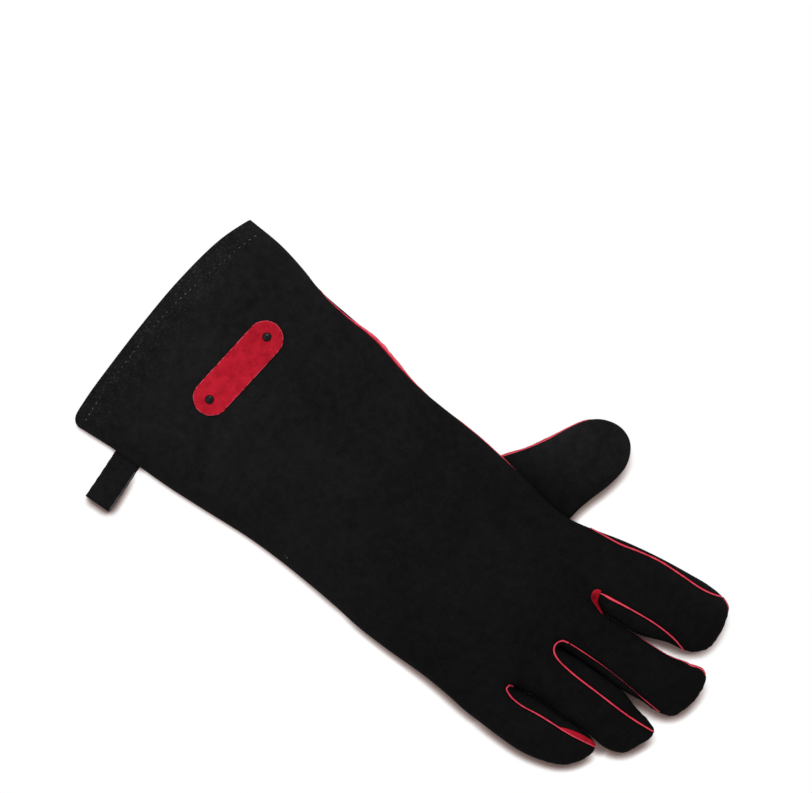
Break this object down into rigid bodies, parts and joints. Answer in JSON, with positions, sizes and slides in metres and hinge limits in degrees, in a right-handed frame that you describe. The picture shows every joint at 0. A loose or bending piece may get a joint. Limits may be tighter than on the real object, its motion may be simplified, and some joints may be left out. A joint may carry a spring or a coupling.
{
  "type": "heat resistant glove",
  "caption": "Long-cuffed split-leather heat glove for the right hand, black with red palm and index patches, red piping, fleece lining and a hanging loop.",
  "frame": {"origin": "centre of the glove's footprint, on the surface it lies on", "axes": "+Y along the glove towards the fingertips, +X towards the little finger, +Z out of the back of the hand"},
  "size_m": [0.2381, 0.406, 0.0379],
  "materials": {
    "black_suede": "napped split cowhide, matt",
    "red_suede": "napped split cowhide, matt",
    "red_piping": "cut leather edge, matt",
    "cotton_lining": "woven cotton drill",
    "fleece_lining": "brushed fleece",
    "black_rivet": "gloss black",
    "steel_rivet": "plain",
    "thread": "twisted sewing thread"
  },
  "bodies": {
    "cuff": {"cuff_back": "black_suede", "cuff_lining": "cotton_lining", "cuff_palm": "black_suede", "cuff_side_welts": "red_piping", "hem_stitches": "thread", "label_patch": "red_suede", "rivet_caps": "black_rivet", "rivet_posts": "steel_rivet", "rivet_washers": "steel_rivet"},
    "hand": {"hand_back": "black_suede", "hand_lining": "fleece_lining", "hand_palm": "black_suede", "hand_side_welts": "red_piping", "knuckle_welt": "red_piping", "palm_patch": "red_suede", "wrist_welt": "red_piping"},
    "hang_loop": {"hang_loop": "black_suede"},
    "thumb": {"thumb_back": "black_suede", "thumb_lining": "fleece_lining", "thumb_palm": "black_suede", "thumb_welts": "red_piping"},
    "index_base": {"index_base_back": "black_suede", "index_base_palm": "black_suede", "index_base_welts": "red_piping", "index_lining": "fleece_lining", "index_patch_base": "red_suede"},
    "index_tip": {"index_patch_tip": "red_suede", "index_tip_back": "black_suede", "index_tip_palm": "black_suede", "index_tip_welts": "red_piping"},
    "middle_base": {"middle_base_back": "black_suede", "middle_base_palm": "black_suede", "middle_base_welts": "red_piping", "middle_lining": "fleece_lining"},
    "middle_tip": {"middle_tip_back": "black_suede", "middle_tip_palm": "black_suede", "middle_tip_welts": "red_piping"},
    "ring_base": {"ring_base_back": "black_suede", "ring_base_palm": "black_suede", "ring_base_welts": "red_piping", "ring_lining": "fleece_lining"},
    "ring_tip": {"ring_tip_back": "black_suede", "ring_tip_palm": "black_suede", "ring_tip_welts": "red_piping"},
    "little_base": {"little_base_back": "black_suede", "little_base_palm": "black_suede", "little_base_welts": "red_piping", "little_lining": "fleece_lining"},
    "little_tip": {"little_tip_back": "black_suede", "little_tip_palm": "black_suede", "little_tip_welts": "red_piping"}
  },
  "joints": [
    {"name": "wrist_bend", "type": "hinge", "parent": "cuff", "child": "hand", "pos_m": [0.007, -0.011, 0.017], "axis": [-1, 0, 0], "range_deg": [-30, 30], "stiffness_Nm_per_rad": 0.6, "deforming": ["hand_lining"]},
    {"name": "index_knuckle", "type": "hinge", "parent": "hand", "child": "index_base", "pos_m": [-0.053, 0.132, 0.014], "axis": [-1, 0, 0], "range_deg": [-15, 60], "stiffness_Nm_per_rad": 0.15, "deforming": ["index_lining"]},
    {"name": "index_middle_bend", "type": "hinge", "parent": "index_base", "child": "index_tip", "pos_m": [-0.053, 0.16, 0.014], "axis": [-1, 0, 0], "range_deg": [-12.75, 51], "stiffness_Nm_per_rad": 0.1},
    {"name": "middle_knuckle", "type": "hinge", "parent": "hand", "child": "middle_base", "pos_m": [-0.01, 0.134, 0.0125], "axis": [-1, 0, 0], "range_deg": [-15, 60], "stiffness_Nm_per_rad": 0.15, "deforming": ["middle_lining"]},
    {"name": "middle_middle_bend", "type": "hinge", "parent": "middle_base", "child": "middle_tip", "pos_m": [-0.01, 0.166, 0.0125], "axis": [-1, 0, 0], "range_deg": [-12.75, 51], "stiffness_Nm_per_rad": 0.1},
    {"name": "ring_knuckle", "type": "hinge", "parent": "hand", "child": "ring_base", "pos_m": [0.027, 0.134, 0.0125], "axis": [-1, 0, 0], "range_deg": [-15, 60], "stiffness_Nm_per_rad": 0.15, "deforming": ["ring_lining"]},
    {"name": "ring_middle_bend", "type": "hinge", "parent": "ring_base", "child": "ring_tip", "pos_m": [0.027, 0.163, 0.0125], "axis": [-1, 0, 0], "range_deg": [-12.75, 51], "stiffness_Nm_per_rad": 0.1},
    {"name": "little_knuckle", "type": "hinge", "parent": "hand", "child": "little_base", "pos_m": [0.059, 0.124, 0.0125], "axis": [-1, 0, 0], "range_deg": [-15, 60], "stiffness_Nm_per_rad": 0.15, "deforming": ["little_lining"]},
    {"name": "little_middle_bend", "type": "hinge", "parent": "little_base", "child": "little_tip", "pos_m": [0.059, 0.149, 0.0125], "axis": [-1, 0, 0], "range_deg": [-12.75, 51], "stiffness_Nm_per_rad": 0.1},
    {"name": "thumb_fold", "type": "hinge", "parent": "hand", "child": "thumb", "pos_m": [-0.0625, 0.05, 0.012], "axis": [0, -1, 0], "range_deg": [-12, 50], "stiffness_Nm_per_rad": 0.15, "deforming": ["thumb_lining"]},
    {"name": "loop_swing", "type": "hinge", "parent": "cuff", "child": "hang_loop", "pos_m": [0.0863, -0.16, 0.012], "axis": [0, -1, 0], "range_deg": [-50, 50]}
  ],
  "couplings": [
    {"joint": "index_middle_bend", "follows": "index_knuckle", "ratio": 0.85},
    {"joint": "middle_middle_bend", "follows": "middle_knuckle", "ratio": 0.85},
    {"joint": "ring_middle_bend", "follows": "ring_knuckle", "ratio": 0.85},
    {"joint": "little_middle_bend", "follows": "little_knuckle", "ratio": 0.85}
  ]
}
